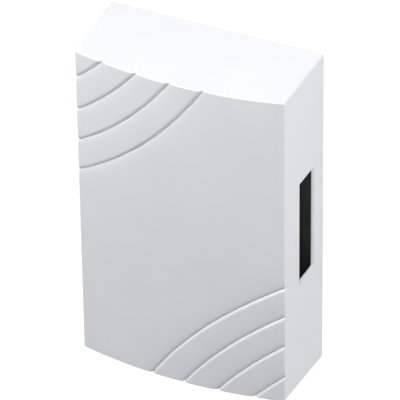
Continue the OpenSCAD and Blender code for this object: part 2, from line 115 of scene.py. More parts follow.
def newGroup(name, inputs, outputs):
    tree = bpy.data.node_groups.new(name, "ShaderNodeTree")
    for label, value in inputs:
        socket = tree.interface.new_socket(name=label, in_out="INPUT", socket_type="NodeSocketFloat")
        socket.default_value = value
    for label in outputs:
        tree.interface.new_socket(name=label, in_out="OUTPUT", socket_type="NodeSocketFloat")
    return tree, tree.nodes.new("NodeGroupInput"), tree.nodes.new("NodeGroupOutput")


def makeMouldSkin():
    # fine spark grain of a mould, and soft clouds of tone
    inputs = [("Grain Scale", 2200.0), ("Cloud Scale", 30.0)]
    tree, given, result = newGroup("mouldSkin", inputs, ["Grain", "Cloud"])
    place = tree.nodes.new("ShaderNodeTexCoord")
    grain = tree.nodes.new("ShaderNodeTexNoise")
    grain.inputs["Detail"].default_value = 2.0
    cloud = tree.nodes.new("ShaderNodeTexNoise")
    cloud.inputs["Detail"].default_value = 4.0
    for noise, scale, label in ((grain, "Grain Scale", "Grain"), (cloud, "Cloud Scale", "Cloud")):
        tree.links.new(place.outputs["Object"], noise.inputs["Vector"])
        tree.links.new(given.outputs[scale], noise.inputs["Scale"])
        tree.links.new(noise.outputs["Fac"], result.inputs[label])
    return tree


def makeDrawnLines():
    # streaks of drawn, rolled or turned metal, packed along the axes with large values
    inputs = [("Along X", 400.0), ("Along Y", 400.0), ("Along Z", 8.0)]
    tree, given, result = newGroup("drawnLines", inputs, ["Streak", "Blotch"])
    place = tree.nodes.new("ShaderNodeTexCoord")
    packing = tree.nodes.new("ShaderNodeCombineXYZ")
    for label, socket in zip(("Along X", "Along Y", "Along Z"), ("X", "Y", "Z")):
        tree.links.new(given.outputs[label], packing.inputs[socket])
    stretch = tree.nodes.new("ShaderNodeVectorMath")
    stretch.operation = "MULTIPLY"
    tree.links.new(place.outputs["Object"], stretch.inputs[0])
    tree.links.new(packing.outputs["Vector"], stretch.inputs[1])
    streak = tree.nodes.new("ShaderNodeTexNoise")
    streak.inputs["Scale"].default_value = 1.0
    streak.inputs["Detail"].default_value = 3.0
    tree.links.new(stretch.outputs["Vector"], streak.inputs["Vector"])
    tree.links.new(streak.outputs["Fac"], result.inputs["Streak"])
    blotch = tree.nodes.new("ShaderNodeTexNoise")
    blotch.inputs["Scale"].default_value = 90.0
    blotch.inputs["Detail"].default_value = 5.0
    tree.links.new(place.outputs["Object"], blotch.inputs["Vector"])
    tree.links.new(blotch.outputs["Fac"], result.inputs["Blotch"])
    return tree


def makeSettledDust():
    # dust on what faces up, broken by noise
    tree, given, result = newGroup("settledDust", [("Amount", 0.3), ("Patch Scale", 60.0)], ["Mask"])
    place = tree.nodes.new("ShaderNodeTexCoord")
    split = tree.nodes.new("ShaderNodeSeparateXYZ")
    tree.links.new(place.outputs["Normal"], split.inputs["Vector"])
    facing = tree.nodes.new("ShaderNodeMapRange")
    facing.inputs["From Min"].default_value = 0.1
    facing.inputs["From Max"].default_value = 0.9
    tree.links.new(split.outputs["Z"], facing.inputs["Value"])
    patch = tree.nodes.new("ShaderNodeTexNoise")
    patch.inputs["Detail"].default_value = 6.0
    tree.links.new(place.outputs["Object"], patch.inputs["Vector"])
    tree.links.new(given.outputs["Patch Scale"], patch.inputs["Scale"])
    both = tree.nodes.new("ShaderNodeMath")
    both.operation = "MULTIPLY"
    tree.links.new(facing.outputs["Result"], both.inputs[0])
    tree.links.new(patch.outputs["Fac"], both.inputs[1])
    amount = tree.nodes.new("ShaderNodeMath")
    amount.operation = "MULTIPLY"
    tree.links.new(both.outputs["Value"], amount.inputs[0])
    tree.links.new(given.outputs["Amount"], amount.inputs[1])
    tree.links.new(amount.outputs["Value"], result.inputs["Mask"])
    return tree


def makeRubbedEdge():
    # where edges stand proud and get rubbed
    tree, given, result = newGroup("rubbedEdge", [("Amount", 0.5)], ["Mask"])
    shape = tree.nodes.new("ShaderNodeNewGeometry")
    proud = tree.nodes.new("ShaderNodeMapRange")
    proud.inputs["From Min"].default_value = 0.52
    proud.inputs["From Max"].default_value = 0.62
    tree.links.new(shape.outputs["Pointiness"], proud.inputs["Value"])
    amount = tree.nodes.new("ShaderNodeMath")
    amount.operation = "MULTIPLY"
    tree.links.new(proud.outputs["Result"], amount.inputs[0])
    tree.links.new(given.outputs["Amount"], amount.inputs[1])
    tree.links.new(amount.outputs["Value"], result.inputs["Mask"])
    return tree


mouldSkin = makeMouldSkin()
drawnLines = makeDrawnLines()
settledDust = makeSettledDust()
rubbedEdge = makeRubbedEdge()


# Finishes

grainDepth = 0.0001  # metres


def startFinish(name):
    material = bpy.data.materials.new(name)
    material.use_nodes = True
    return material, material.node_tree, material.node_tree.nodes["Principled BSDF"]


def placeGroup(tree, group, values):
    node = tree.nodes.new("ShaderNodeGroup")
    node.node_tree = group
    for label, value in values.items():
        node.inputs[label].default_value = value
    return node


def mixColours(tree, mask, low, high):
    # low and high are colours, or sockets that carry one
    mix = tree.nodes.new("ShaderNodeMix")
    mix.data_type = "RGBA"
    tree.links.new(mask, mix.inputs["Factor"])
    for label, value in (("A", low), ("B", high)):
        socket = [s for s in mix.inputs if s.name == label and s.type == "RGBA"][0]
        if isinstance(value, tuple):
            socket.default_value = (*value, 1.0)
        else:
            tree.links.new(value, socket)
    return [s for s in mix.outputs if s.type == "RGBA"][0]


def spread(tree, value, low, high, fromLow=0.3, fromHigh=0.7):
    node = tree.nodes.new("ShaderNodeMapRange")
    node.inputs["From Min"].default_value = fromLow
    node.inputs["From Max"].default_value = fromHigh
    node.inputs["To Min"].default_value = low
    node.inputs["To Max"].default_value = high
    tree.links.new(value, node.inputs["Value"])
    return node.outputs["Result"]


def addBump(tree, shader, height, strength):
    bump = tree.nodes.new("ShaderNodeBump")
    bump.inputs["Strength"].default_value = strength
    bump.inputs["Distance"].default_value = grainDepth
    tree.links.new(height, bump.inputs["Height"])
    tree.links.new(bump.outputs["Normal"], shader.inputs["Normal"])


def plasticFinish(name, dark, light, rough, grain, cloud, bump, dust=0.0, dustColour=(0.45, 0.43, 0.40)):
    material, tree, shader = startFinish(name)
    skin = placeGroup(tree, mouldSkin, {"Grain Scale": grain, "Cloud Scale": cloud})
    tone = mixColours(tree, spread(tree, skin.outputs["Cloud"], 0.0, 1.0), dark, light)
    if dust > 0.0:
        veil = placeGroup(tree, settledDust, {"Amount": dust, "Patch Scale": 70.0})
        tone = mixColours(tree, veil.outputs["Mask"], tone, dustColour)
    tree.links.new(tone, shader.inputs["Base Color"])
    tree.links.new(spread(tree, skin.outputs["Grain"], rough[0], rough[1]), shader.inputs["Roughness"])
    addBump(tree, shader, skin.outputs["Grain"], bump)
    return material


def metalFinish(name, dark, light, rough, packing, bump, rubbed=0.0, rubbedColour=(0.85, 0.84, 0.82)):
    material, tree, shader = startFinish(name)
    shader.inputs["Metallic"].default_value = 1.0
    values = dict(zip(("Along X", "Along Y", "Along Z"), packing))
    lines = placeGroup(tree, drawnLines, values)
    tone = mixColours(tree, spread(tree, lines.outputs["Blotch"], 0.0, 1.0), dark, light)
    if rubbed > 0.0:
        edge = placeGroup(tree, rubbedEdge, {"Amount": rubbed})
        tone = mixColours(tree, edge.outputs["Mask"], tone, rubbedColour)
    tree.links.new(tone, shader.inputs["Base Color"])
    tree.links.new(spread(tree, lines.outputs["Streak"], rough[0], rough[1]), shader.inputs["Roughness"])
    addBump(tree, shader, lines.outputs["Streak"], bump)
    return material


coverWhite = plasticFinish(
    "coverWhite", dark=(0.79, 0.802, 0.812), light=(0.815, 0.827, 0.837),
    rough=(0.38, 0.48), grain=2600.0, cloud=25.0, bump=0.05,
)
plateBlack = plasticFinish(
    "plateBlack", dark=(0.048, 0.048, 0.049), light=(0.070, 0.070, 0.071),
    rough=(0.42, 0.60), grain=1800.0, cloud=40.0, bump=0.25, dust=0.10,
)
grommetRubber = plasticFinish(
    "grommetRubber", dark=(0.018, 0.018, 0.018), light=(0.035, 0.034, 0.033),
    rough=(0.70, 0.90), grain=2400.0, cloud=150.0, bump=0.30, dust=0.25,
)
strikerNylon = plasticFinish(
    "strikerNylon", dark=(0.70, 0.66, 0.55), light=(0.78, 0.74, 0.63),
    rough=(0.36, 0.50), grain=1500.0, cloud=120.0, bump=0.08,
)
blockPlastic = plasticFinish(
    "blockPlastic", dark=(0.60, 0.60, 0.58), light=(0.68, 0.68, 0.66),
    rough=(0.40, 0.55), grain=2000.0, cloud=80.0, bump=0.10, dust=0.15,
)
leadBlack = plasticFinish(
    "leadBlack", dark=(0.010, 0.010, 0.010), light=(0.020, 0.020, 0.020),
    rough=(0.30, 0.42), grain=1600.0, cloud=200.0, bump=0.05, dust=0.15,
)
leadRed = plasticFinish(
    "leadRed", dark=(0.33, 0.012, 0.010), light=(0.42, 0.020, 0.015),
    rough=(0.30, 0.42), grain=1600.0, cloud=200.0, bump=0.05, dust=0.10,
)
barSteel = metalFinish(
    "barSteel", dark=(0.50, 0.51, 0.53), light=(0.62, 0.63, 0.64),
    rough=(0.28, 0.40), packing=(2500.0, 2500.0, 25.0), bump=0.05, rubbed=0.6,
)
zincPlate = metalFinish(
    "zincPlate", dark=(0.52, 0.52, 0.50), light=(0.66, 0.67, 0.68),
    rough=(0.24, 0.34), packing=(500.0, 500.0, 500.0), bump=0.02, rubbed=0.4,
)
yokeSteel = metalFinish(
    "yokeSteel", dark=(0.44, 0.45, 0.46), light=(0.60, 0.61, 0.62),
    rough=(0.30, 0.46), packing=(30.0, 1500.0, 1500.0), bump=0.08, rubbed=0.5,
)
coreSteel = metalFinish(
    "coreSteel", dark=(0.42, 0.42, 0.43), light=(0.54, 0.54, 0.55),
    rough=(0.20, 0.34), packing=(5000.0, 60.0, 60.0), bump=0.12, rubbed=0.5,
)
springSteel = metalFinish(
    "springSteel", dark=(0.55, 0.56, 0.58), light=(0.66, 0.67, 0.69),
    rough=(0.18, 0.28), packing=(700.0, 700.0, 700.0), bump=0.04,
)
clampBrass = metalFinish(
    "clampBrass", dark=(0.60, 0.42, 0.16), light=(0.74, 0.55, 0.24),
    rough=(0.24, 0.38), packing=(1200.0, 1200.0, 60.0), bump=0.08,
    rubbed=0.5, rubbedColour=(0.88, 0.72, 0.38),
)
bareCopper = metalFinish(
    "bareCopper", dark=(0.72, 0.34, 0.20), light=(0.82, 0.42, 0.26),
    rough=(0.20, 0.34), packing=(1500.0, 1500.0, 60.0), bump=0.06,
)
coilEnamel = metalFinish(
    "coilEnamel", dark=(0.42, 0.13, 0.045), light=(0.58, 0.20, 0.07),
    rough=(0.22, 0.36), packing=(1800.0, 40.0, 40.0), bump=0.05,
)
coilShader = coilEnamel.node_tree.nodes["Principled BSDF"]
coilShader.inputs["Coat Weight"].default_value = 0.8
coilShader.inputs["Coat Roughness"].default_value = 0.12
print("finishes made")


# Making pieces

hair = 0.001  # millimetres, for what should lie on one line


def chainOf(bm, points):
    # an open chain of edges through points
    verts = [bm.verts.new(p) for p in points]
    edges = [bm.edges.new(pair) for pair in zip(verts, verts[1:])]
    return verts + edges


def growRing(bm, ring):
    # a new rim joined to the old one, ready to be moved
    geom = bmesh.ops.extrude_edge_only(bm, edges=ring)["geom"]
    verts = [g for g in geom if isinstance(g, bmesh.types.BMVert)]
    edges = [g for g in geom if isinstance(g, bmesh.types.BMEdge) and g.is_boundary]
    return verts, edges


def bevelEdges(bm, edges, offset, segments=2):
    bmesh.ops.bevel(
        bm, geom=edges, offset=offset, offset_type="OFFSET", segments=segments,
        profile=0.5, affect="EDGES", clamp_overlap=True, material=-1,
    )


def onceEach(parts):
    # without repeats, in the order that they come
    return list(dict.fromkeys(parts))


def withParts(faces):
    edges = onceEach(e for f in faces for e in f.edges)
    verts = onceEach(v for f in faces for v in f.verts)
    return faces + edges + verts


def closeUp(bm):
    bmesh.ops.remove_doubles(bm, verts=bm.verts, dist=0.0005)
    bmesh.ops.recalc_face_normals(bm, faces=bm.faces)


def makePiece(bm, name, body, nodes, material, sharp=35.0):
    # bm is in millimetres
    bmesh.ops.scale(bm, vec=(mm, mm, mm), verts=bm.verts)
    mesh = bpy.data.meshes.new(name)
    bm.to_mesh(mesh)
    bm.free()
    stale = mesh.attributes.get("custom_normal")  # came with a copied node and no longer fits
    if stale:
        mesh.attributes.remove(stale)
    mesh.materials.clear()
    mesh.materials.append(material)
    mesh.shade_smooth()
    mesh.set_sharp_from_angle(angle=math.radians(sharp))
    piece = bpy.data.objects.new(name, mesh)
    bpy.context.scene.collection.objects.link(piece)
    if body:  # a piece given no body, like the spring, stays unattached
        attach(piece, body)
    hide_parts(*nodes)
    return piece


def keepFlats(piece):
    # wide faces keep their own direction, and the rounded edges take up the turn
    even = piece.modifiers.new("keepFlats", "WEIGHTED_NORMAL")
    even.mode = "FACE_AREA"
    even.weight = 50
    even.keep_sharp = True


def proudEdges(bm, least=38.0):
    limit = math.radians(least)
    return [e for e in bm.edges if e.is_manifold and e.is_convex and e.calc_face_angle() > limit]


def softCopy(node, name, material, offset, segments=2):
    # the solid of a node with its outer edges broken
    bm = bmesh.new()
    bm.from_mesh(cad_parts[node].data)
    bmesh.ops.scale(bm, vec=(1 / mm, 1 / mm, 1 / mm), verts=bm.verts)
    bmesh.ops.remove_doubles(bm, verts=bm.verts, dist=0.002)
    bmesh.ops.dissolve_limit(bm, angle_limit=math.radians(1.0), verts=bm.verts, edges=bm.edges)
    bevelEdges(bm, proudEdges(bm), offset, segments)
    keepFlats(makePiece(bm, name, "base", [node], material, sharp=32.0))


def spinProfile(bm, profile, z=0.0, steps=48, closed=False):
    # profile is pairs of x and radius, turned about the line of the plunger moved up by z
    verts = [bm.verts.new((x, -axisDepth, z + r)) for x, r in profile]
    edges = [bm.edges.new(pair) for pair in zip(verts, verts[1:])]
    if closed:
        edges.append(bm.edges.new((verts[-1], verts[0])))
    bmesh.ops.spin(
        bm, geom=verts + edges, cent=(0.0, -axisDepth, z), axis=(1.0, 0.0, 0.0), angle=2 * math.pi,
        steps=steps, use_merge=True, use_duplicate=False,
    )


# Cover

cover = dict(
    halfWidth=58.6, halfHeight=95.3,  # front outline
    rimHalfWidth=60.0, rimHalfHeight=97.5,  # outline at the wall
    side=47.0, bow=7.0, wall=1.8, skin=3.0, rimLift=0.4,
    wallFrom=42.5,  # depth where the flat of the walls starts
    edgeRound=0.55, cornerRound=0.5, rearRound=0.5, roundSteps=5, cornerSteps=6,
    arcCentre=(-178.8, 215.5), creases=(182.0, 197.6, 213.2, 228.8),
    groove=(  # distance from a crease, away from the corner, against depth
        (-2.8, 0.0), (-2.2, 0.02), (-1.7, 0.07), (-1.25, 0.18), (-0.85, 0.42), (-0.48, 0.86),
        (-0.18, 1.38), (0.0, 1.62), (0.40, 1.64), (0.50, 1.10), (0.58, 0.66), (1.0, 0.50),
        (1.6, 0.35), (2.5, 0.21), (4.0, 0.11), (5.6, 0.045), (7.2, 0.01), (8.4, 0.0),
    ),
    sheetFrom=166.0, sheetTo=238.5, sweepFrom=28.5, sweepTo=61.5, sweepSteps=72,
    beyond=(75.0, 115.0),  # a corner well outside the outline
    cutAcross=2.5, cutAlong=11.0, backCut=5.2,  # strips that let the flats follow the bow
    slotTop=33.9, slotBottom=-30.1, slotFront=29.0, slotBack=11.5, slotRound=0.4, slotSteps=5,
    slotEaseDeep=1.65, slotEaseLong=2.6,
    catchX=26.0, catchSize=(12.0, 1.4, 2.6), catchY=-12.6, catchZ=95.45, catchEdge=0.3,
)


def bowRadius():
    return (cover["halfWidth"] ** 2 + cover["bow"] ** 2) / (2 * cover["bow"])


def frontAt(x):
    # where the bowed front lies
    radius = bowRadius()
    drop = radius - math.sqrt(radius * radius - x * x)
    return drop - cover["side"] - cover["bow"]


def grooveChain():
    # radius and depth pairs from the corner inwards, with the lands between grooves split in three
    points = [(cover["sheetFrom"], 0.0)]
    for crease in cover["creases"]:
        start = points[-1][0]
        finish = crease + cover["groove"][0][0]
        points += [(start + (finish - start) * share / 3, 0.0) for share in (1, 2)]
        points += [(crease + away, depth) for away, depth in cover["groove"]]
    points.append((cover["sheetTo"], 0.0))
    return points


def outlineNormal(co, edgeX, edgeZ):
    # the way out of the outline, turned along its rounded corners
    across = max(abs(co.x) - edgeX + cover["cornerRound"], 0.0)
    along = max(abs(co.z) - edgeZ + cover["cornerRound"], 0.0)
    size = math.hypot(across, along)
    return math.copysign(across / size, co.x), math.copysign(along / size, co.z)


def clipOutside(bm, point, normal):
    everything = bm.verts[:] + bm.edges[:] + bm.faces[:]
    bmesh.ops.bisect_plane(
        bm, geom=everything, dist=0.0001, plane_co=point, plane_no=normal, clear_outer=True,
    )


def cutMarked(bm, mark, point, normal):
    faces = [f for f in bm.faces if f.material_index == mark]
    bmesh.ops.bisect_plane(bm, geom=withParts(faces), dist=0.0001, plane_co=point, plane_no=normal)


def frontSheet(bm, edgeX, edgeZ):
    # grooved corners, spun about the centre of their arcs
    centreX, centreZ = cover["arcCentre"]
    angle = math.radians(cover["sweepFrom"])
    points = [
        (centreX + r * math.cos(angle), depth, centreZ - r * math.sin(angle)) for r, depth in grooveChain()
    ]
    sweep = math.radians(cover["sweepTo"] - cover["sweepFrom"])
    bmesh.ops.spin(
        bm, geom=chainOf(bm, points), cent=(centreX, 0.0, centreZ), axis=(0.0, 1.0, 0.0),
        angle=sweep, steps=cover["sweepSteps"], use_merge=False, use_duplicate=False,
    )
    everything = bm.verts[:] + bm.edges[:] + bm.faces[:]
    copied = bmesh.ops.duplicate(bm, geom=everything)["geom"]
    turned = [g for g in copied if isinstance(g, bmesh.types.BMVert)]
    bmesh.ops.rotate(bm, verts=turned, cent=(0.0, 0.0, 0.0), matrix=Matrix.Rotation(math.pi, 3, "Y"))

    # plain middle between the two sheets
    def reachFrom(v, side):
        return math.hypot(v.co.x - side * centreX, v.co.z - side * centreZ)

    def lastArc(side):
        arc = [v for v in bm.verts if abs(reachFrom(v, side) - cover["sheetTo"]) < hair]
        return sorted(arc, key=lambda v: side * v.co.x, reverse=True)

    upperArc = lastArc(1.0)
    lowerArc = lastArc(-1.0)
    beyondX, beyondZ = cover["beyond"]
    lowCorner = bm.verts.new((-beyondX, 0.0, -beyondZ))
    highCorner = bm.verts.new((beyondX, 0.0, beyondZ))
    middle = bm.faces.new(upperArc + [lowCorner] + lowerArc + [highCorner])
    middle.material_index = 1  # marks what is cut
    cutsAcross = int(edgeX / cover["cutAcross"])
    cutsAlong = int(edgeZ / cover["cutAlong"])
    for i in range(-cutsAcross, cutsAcross + 1):
        cutMarked(bm, 1, (i * cover["cutAcross"], 0.0, 0.0), (1.0, 0.0, 0.0))
    for i in range(-cutsAlong, cutsAlong + 1):
        cutMarked(bm, 1, (0.0, 0.0, i * cover["cutAlong"]), (0.0, 0.0, 1.0))

    # outline
    for side in (1.0, -1.0):
        clipOutside(bm, (side * edgeX, 0.0, 0.0), (side, 0.0, 0.0))
        clipOutside(bm, (0.0, 0.0, side * edgeZ), (0.0, 0.0, side))
    small = cover["cornerRound"]
    for sideX in (1.0, -1.0):
        for sideZ in (1.0, -1.0):
            for step in range(1, cover["cornerSteps"]):
                turn = math.radians(90.0 * step / cover["cornerSteps"])
                normal = Vector((sideX * math.cos(turn), 0.0, sideZ * math.sin(turn)))
                corner = Vector((sideX * (edgeX - small), 0.0, sideZ * (edgeZ - small)))
                clipOutside(bm, corner + normal * small, normal)
    for f in bm.faces:
        f.material_index = 0
    for v in bm.verts:
        v.co.y += frontAt(v.co.x)


def cutSlots(bm):
    # windows in the side walls, joined from outside to inside
    top, bottom = cover["slotTop"], cover["slotBottom"]
    front, rear = -cover["slotFront"], -cover["slotBack"]
    squareOn, sideways = 0.99, 0.9  # how much of a face's direction is along x

    def onWall(f):
        return f.calc_center_median().y > -cover["wallFrom"]

    # each wall becomes one face outside and one inside, so that the rounding has room
    for facing in (1.0, -1.0):
        walls = [f for f in bm.faces if f.normal.x * facing > squareOn and onWall(f)]
        bmesh.ops.dissolve_faces(bm, faces=walls, use_verts=False)
    cuts = (
        ((0.0, 0.0, top), (0.0, 0.0, 1.0)), ((0.0, 0.0, bottom), (0.0, 0.0, 1.0)),
        ((0.0, front, 0.0), (0.0, 1.0, 0.0)), ((0.0, rear, 0.0), (0.0, 1.0, 0.0)),
    )
    for point, normal in cuts:
        sides = [f for f in bm.faces if abs(f.normal.x) > sideways and onWall(f)]
        bmesh.ops.bisect_plane(bm, geom=withParts(sides), dist=0.0001, plane_co=point, plane_no=normal)
        bm.normal_update()

    def inWindow(f):
        middle = f.calc_center_median()
        return abs(f.normal.x) > sideways and bottom < middle.z < top and front < middle.y < rear

    bmesh.ops.delete(bm, geom=[f for f in bm.faces if inWindow(f)], context="FACES")
    outerEdges = []
    for side in (1.0, -1.0):
        rims = [e for e in bm.edges if e.is_boundary and e.verts[0].co.x * side > 0.0]
        bmesh.ops.bridge_loops(bm, edges=rims)
        outerEdges += [e for e in rims if e.verts[0].co.x * side > cover["rimHalfWidth"] - cover["wall"]]
    rounding = cover["slotRound"]
    bevelEdges(bm, outerEdges, rounding, cover["slotSteps"])

    # the rear edge is eased further, along the wall and into it
    lean = (cover["rimHalfWidth"] - cover["halfWidth"]) / cover["side"]
    slack = 0.05  # the rounding leans with the wall
    for v in bm.verts:
        past = v.co.y - rear
        deep = cover["rimHalfWidth"] + lean * v.co.y - abs(v.co.x)
        beside = bottom - 2 * rounding < v.co.z < top + 2 * rounding
        rounded = -hair < past < rounding + hair and -slack < deep < rounding + slack
        if beside and rounded:
            v.co.y = rear + past * cover["slotEaseLong"] / rounding
            eased = cover["rimHalfWidth"] + lean * v.co.y - deep * cover["slotEaseDeep"] / rounding
            v.co.x = math.copysign(eased, v.co.x)


def makeCover():
    bm = bmesh.new()
    slope = cover["halfWidth"] / (bowRadius() - cover["bow"])  # of the bow at its sides
    rounding = cover["edgeRound"]
    edgeX = cover["halfWidth"] - rounding * (1.0 - math.sin(math.atan(slope)))
    edgeZ = cover["halfHeight"] - rounding
    frontSheet(bm, edgeX, edgeZ)
    ring = [e for e in bm.edges if e.is_boundary]

    # rounded front edge
    steps = cover["roundSteps"]
    for step in range(steps):
        verts, ring = growRing(bm, ring)
        for v in verts:
            across, along = outlineNormal(v.co, edgeX, edgeZ)
            lean = math.atan(slope * abs(across))
            begin = lean + (math.pi / 2 - lean) * step / steps
            end = lean + (math.pi / 2 - lean) * (step + 1) / steps
            out = rounding * (math.sin(end) - math.sin(begin))
            v.co += Vector((across * out, rounding * (math.cos(begin) - math.cos(end)), along * out))

    # side walls down to the rear edge, which is rounded too
    for level in (-cover["wallFrom"], -cover["rimLift"] - cover["rearRound"]):
        verts, ring = growRing(bm, ring)
        for v in verts:
            v.co.y = level
    for step in range(steps):
        verts, ring = growRing(bm, ring)
        begin = math.pi / 2 * step / steps
        end = math.pi / 2 * (step + 1) / steps
        inward = cover["rearRound"] * (math.cos(begin) - math.cos(end))
        for v in verts:
            across, along = outlineNormal(v.co, edgeX, edgeZ)
            rise = cover["rearRound"] * (math.sin(end) - math.sin(begin))
            v.co += Vector((-across * inward, rise, -along * inward))

    # rim, inner walls and the back of the bowed front
    verts, ring = growRing(bm, ring)
    for v in verts:
        across, along = outlineNormal(v.co, edgeX, edgeZ)
        inward = cover["wall"] - cover["rearRound"]
        v.co += Vector((-across * inward, 0.0, -along * inward))
    verts, ring = growRing(bm, ring)
    for v in verts:
        v.co.y = frontAt(v.co.x) + cover["skin"]
    back = bmesh.ops.edgeloop_fill(bm, edges=ring)["faces"]
    for f in back:
        f.material_index = 1
    cuts = int((cover["halfWidth"] - cover["wall"]) / cover["backCut"])
    for i in range(-cuts, cuts + 1):
        cutMarked(bm, 1, (i * cover["backCut"], 0.0, 0.0), (1.0, 0.0, 0.0))
    for f in bm.faces:
        if f.material_index == 1:
            f.material_index = 0
            for v in f.verts:
                v.co.y = frontAt(v.co.x) + cover["skin"]
    bmesh.ops.recalc_face_normals(bm, faces=bm.faces)

    # draft of all the walls
    for v in bm.verts:
        depth = -v.co.y / cover["side"]
        narrow = cover["rimHalfWidth"] - (cover["rimHalfWidth"] - cover["halfWidth"]) * depth
        short = cover["rimHalfHeight"] - (cover["rimHalfHeight"] - cover["halfHeight"]) * depth
        v.co.x *= narrow / cover["halfWidth"]
        v.co.z *= short / cover["halfHeight"]
    bm.normal_update()
    cutSlots(bm)

    # ridges that the snap arms hook behind
    for sideX in (1.0, -1.0):
        for sideZ in (1.0, -1.0):
            made = bmesh.ops.create_cube(bm, size=1.0)["verts"]
            bmesh.ops.scale(bm, vec=cover["catchSize"], verts=made)
            place = (sideX * cover["catchX"], cover["catchY"], sideZ * cover["catchZ"])
            bmesh.ops.translate(bm, vec=place, verts=made)
            bevelEdges(bm, onceEach(e for v in made for e in v.link_edges), cover["catchEdge"])
    closeUp(bm)
    shell = makePiece(bm, "coverShell", "cover", ["front_cover"], coverWhite, sharp=38.0)
    keepFlats(shell)


makeCover()
print("cover made")


# Back plate and the plain fittings on it

softened = dict(
    # node: name, slot, finish, width of the broken edges
    back_plate=("backPlate", "plate_plastic", plateBlack, 0.30),
    tone_bar_high=("highBar", "bar_steel", barSteel, 0.25),
    tone_bar_low=("lowBar", "bar_steel", barSteel, 0.25),
    solenoid_yoke=("coilYoke", "yoke_steel", yokeSteel, 0.20),
    terminal_block=("terminalBlock", "terminal_plastic", blockPlastic, 0.25),
    terminal_clamps=("terminalClamps", "clamp_brass", clampBrass, 0.20),
    bar_screws=("barScrews", "zinc_steel", zincPlate, 0.08),
    yoke_screws=("yokeScrews", "zinc_steel", zincPlate, 0.08),
    terminal_screws=("terminalScrews", "zinc_steel", zincPlate, 0.08),
    block_screws=("blockScrews", "zinc_steel", zincPlate, 0.08),
)
for nodeName, (pieceName, slotName, finishMade, broken) in softened.items():
    softCopy(nodeName, pieceName, finishMade, broken)
print("plate and fittings made")


# Grommets and washers that carry the tone bars

hangers = dict(boreRadius=1.6, neckRadius=3.65, washerRadius=4.5, softness=0.55, washerEdge=0.12)
grommets = dict(
    # node: name, and the bar that it carries
    grommet_high_top=("grommetHighTop", "tone_bar_high"),
    grommet_high_bottom=("grommetHighBottom", "tone_bar_high"),
    grommet_low_top=("grommetLowTop", "tone_bar_low"),
    grommet_low_bottom=("grommetLowBottom", "tone_bar_low"),
)


def makeGrommet(node, name, bar):
    bore, neck = hangers["boreRadius"], hangers["neckRadius"]
    low, high = boxOf(node)
    barLow, barHigh = boxOf(bar)
    wide = (high.z - low.z) / 2
    profile = [
        (low.x, bore), (low.x, wide), (barLow.x, wide), (barLow.x, neck),
        (barHigh.x, neck), (barHigh.x, wide), (high.x, wide), (high.x, bore),
    ]
    bm = bmesh.new()
    spinProfile(bm, profile, z=(low.z + high.z) / 2, closed=True)
    closeUp(bm)
    bevelEdges(bm, proudEdges(bm), hangers["softness"], segments=4)
    makePiece(bm, name, "base", [node], grommetRubber)


def makeWashers():
    # one on the outer face of each grommet
    bore, wide = hangers["boreRadius"], hangers["washerRadius"]
    washerLow, washerHigh = boxOf("bar_washers")
    bm = bmesh.new()
    for node in grommets:
        low, high = boxOf(node)
        inner, outer = (high.x, washerHigh.x) if low.x > 0.0 else (low.x, washerLow.x)
        profile = [(inner, bore), (inner, wide), (outer, wide), (outer, bore)]
        spinProfile(bm, profile, z=(low.z + high.z) / 2, closed=True)
    closeUp(bm)
    bevelEdges(bm, proudEdges(bm), hangers["washerEdge"])
    makePiece(bm, "barWashers", "base", ["bar_washers"], zincPlate)


for nodeName, (pieceName, barName) in grommets.items():
    makeGrommet(nodeName, pieceName, barName)
makeWashers()
print("hangers made")


# Coil on its bobbin

coil = dict(
    halfLength=20.0, flange=1.5, boreRadius=4.3, tubeRadius=5.6, flangeEdge=0.35,
    windingGap=0.1, turns=70, wireRise=0.15,
    ridge=((0.04, 1.0), (0.27, 0.22), (0.5, 0.0), (0.73, 0.22), (0.96, 1.0)),  # along one turn, against dip
)


def makeBobbin():
    low, high = boxOf("coil_bobbin")
    inner, outer = coil["halfLength"], coil["halfLength"] + coil["flange"]
    tube, wide = coil["tubeRadius"], -low.z
    half = [
        (inner, tube), (inner, wide), (outer, wide), (outer, tube),
        (high.x, tube), (high.x, coil["boreRadius"]),
    ]
    bm = bmesh.new()
    spinProfile(bm, [(-x, r) for x, r in reversed(half)] + half, steps=64, closed=True)
    closeUp(bm)
    bevelEdges(bm, proudEdges(bm), coil["flangeEdge"], segments=3)
    makePiece(bm, "coilBobbin", "base", ["coil_bobbin"], strikerNylon)


def makeWinding():
    # each turn of wire as a low ridge
    low, high = boxOf("coil_winding")
    pitch = (high.x - low.x) / coil["turns"]
    innermost = coil["tubeRadius"] + coil["windingGap"]
    profile = [(low.x, innermost)]
    for turn in range(coil["turns"]):
        for share, dip in coil["ridge"]:
            profile.append((low.x + (turn + share) * pitch, -low.z - coil["wireRise"] * dip))
    profile.append((high.x, innermost))
    bm = bmesh.new()
    spinProfile(bm, profile, steps=56, closed=True)
    closeUp(bm)
    makePiece(bm, "coilWinding", "base", ["coil_winding"], coilEnamel, sharp=60.0)


makeBobbin()
makeWinding()
print("coil made")


# Plunger with its two strikers

plunger = dict(
    holeRadius=1.6, holeDepth=7.1, spigotRadius=1.5, spigotLength=7.0, strikerRadius=2.7,
    noseLength=2.2, seatThickness=1.5, noseSteps=8, coreEdge=0.4, strikerEdge=0.2,
)


def makeCore():
    hole, radius = plunger["holeRadius"], -coreLow.z
    lowHole = coreLow.x + plunger["holeDepth"]
    highHole = coreHigh.x - plunger["holeDepth"]
    bm = bmesh.new()
    spinProfile(bm, [
        (highHole, 0.0), (highHole, hole), (coreHigh.x, hole), (coreHigh.x, radius),
        (coreLow.x, radius), (coreLow.x, hole), (lowHole, hole), (lowHole, 0.0),
    ])
    closeUp(bm)
    bevelEdges(bm, proudEdges(bm), plunger["coreEdge"])
    makePiece(bm, "plungerCore", "plunger", ["plunger_core"], coreSteel)


